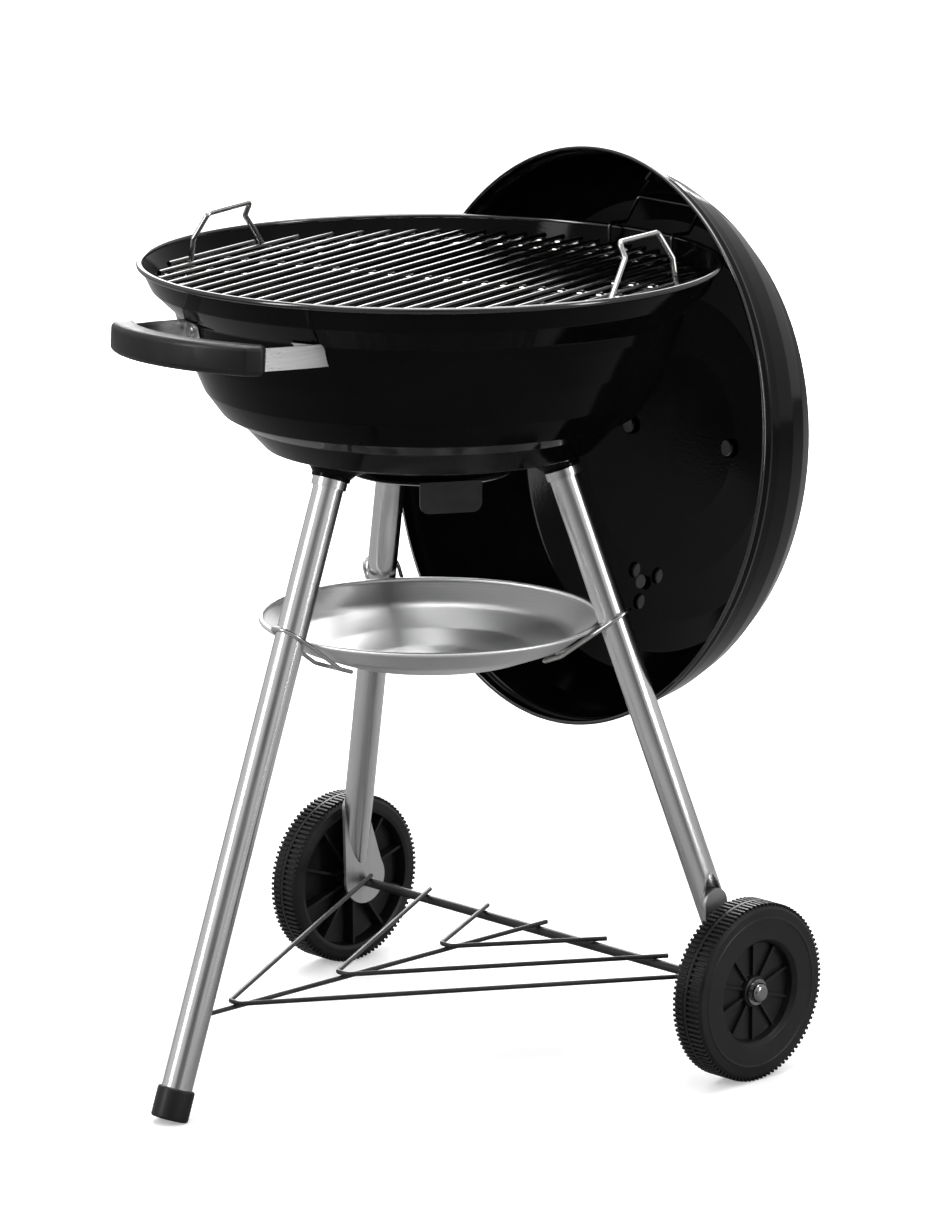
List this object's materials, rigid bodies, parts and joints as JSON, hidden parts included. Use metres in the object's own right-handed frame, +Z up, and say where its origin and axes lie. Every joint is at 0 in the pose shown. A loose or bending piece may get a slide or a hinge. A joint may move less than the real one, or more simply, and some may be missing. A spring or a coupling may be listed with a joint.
{
  "type": "kettle charcoal grill",
  "caption": "Kettle charcoal grill on a splayed three-leg stand with wheels, wire rack and ash pan; its lid hangs by a hook on the bowl rim.",
  "frame": {"origin": "bottom centre of the bounding box of the whole grill, on the ground", "axes": "+Z up; -Y towards the single front leg and the bowl handle; +Y towards the axle, wheels and hanging lid; +X to the right when seen from the handle side"},
  "size_m": [0.5238, 0.6516, 0.7469],
  "materials": {
    "enamel_black": "glossy porcelain enamel",
    "leg_aluminium": "bright brushed",
    "pan_aluminium": "satin with fine spun rings",
    "plated_wire": "nickel-plated, bright",
    "charcoal_steel": "plain steel wire, dull",
    "nylon_black": "satin moulded nylon",
    "wheel_plastic": "satin moulded plastic with a fine ribbed tread",
    "rack_black": "satin black paint",
    "strap_metal": "zinc plated, satin",
    "plate_metal": "zinc plated sheet, dull",
    "hardware": "bright plated",
    "dark_hardware": "blackened steel, satin"
  },
  "bodies": {
    "stand": {"bowl": "enamel_black", "grate_support_tabs": "enamel_black", "bowl_handle_strap_left": "strap_metal", "bowl_handle_strap_right": "strap_metal", "bowl_handle_rivets": "hardware", "bowl_handle_grip": "nylon_black", "bowl_damper_rivet": "hardware", "leg_socket_front": "enamel_black", "leg_socket_right": "enamel_black", "leg_socket_left": "enamel_black", "leg_collars": "leg_aluminium", "leg_front": "leg_aluminium", "leg_right": "leg_aluminium", "leg_left": "leg_aluminium", "foot_cap": "nylon_black", "axle_plate_right": "plate_metal", "axle_plate_left": "plate_metal", "axle": "rack_black", "axle_cap_nuts": "hardware", "rack_spine": "rack_black", "rack_v_outer": "rack_black", "rack_v_middle": "rack_black", "rack_v_inner": "rack_black", "ash_pan_clips": "plated_wire"},
    "bowl_damper": {"bowl_damper": "plate_metal", "damper_tab": "rack_black"},
    "wheel_left": {"wheel_left": "wheel_plastic"},
    "wheel_right": {"wheel_right": "wheel_plastic"},
    "ash_pan": {"ash_pan": "pan_aluminium"},
    "cooking_grate": {"cooking_grate_ring": "plated_wire", "cooking_grate_rods": "plated_wire", "cooking_grate_cross_wire": "plated_wire", "cooking_grate_inner_ring": "plated_wire", "cooking_grate_handle_left": "plated_wire", "cooking_grate_handle_right": "plated_wire"},
    "charcoal_grate": {"charcoal_grate_ring": "charcoal_steel", "charcoal_grate_rods": "charcoal_steel", "charcoal_grate_cross_wires": "charcoal_steel"},
    "lid": {"lid": "enamel_black", "lid_hook": "plated_wire", "lid_handle_strap_left": "strap_metal", "lid_handle_strap_right": "strap_metal", "lid_handle_grip": "nylon_black", "lid_heat_shield": "strap_metal", "lid_handle_screws": "dark_hardware", "lid_damper_rivet": "dark_hardware"},
    "lid_damper": {"lid_damper": "plate_metal"}
  },
  "joints": [
    {"name": "wheel_left_spin", "type": "hinge", "parent": "stand", "child": "wheel_left", "pos_m": [-0.24395, 0.10966, 0.0754], "axis": [1, 0, 0], "continuous": true},
    {"name": "wheel_right_spin", "type": "hinge", "parent": "stand", "child": "wheel_right", "pos_m": [0.24395, 0.10966, 0.0754], "axis": [1, 0, 0], "continuous": true},
    {"name": "bowl_damper_turn", "type": "hinge", "parent": "stand", "child": "bowl_damper", "pos_m": [0, -0.01784, 0.496], "axis": [0, 0, 1], "range_deg": [0, 45]},
    {"name": "cooking_grate_lift", "type": "slide", "parent": "stand", "child": "cooking_grate", "axis": [0, 0, 1], "range_m": [0, 0.035]},
    {"name": "charcoal_grate_lift", "type": "slide", "parent": "stand", "child": "charcoal_grate", "axis": [0, 0, 1], "range_m": [0, 0.08]},
    {"name": "ash_pan_lift", "type": "slide", "parent": "stand", "child": "ash_pan", "axis": [0, 0, 1], "range_m": [0, 0.008]},
    {"name": "lid_lift", "type": "slide", "parent": "stand", "child": "lid", "axis": [0.0318, 0.2855, 0.9578], "range_m": [0, 0.42]},
    {"name": "lid_damper_turn", "type": "hinge", "parent": "lid", "child": "lid_damper", "pos_m": [0.00748, 0.22979, 0.36292], "axis": [0.0783, 0.951, -0.2992], "range_deg": [0, 60]}
  ]
}
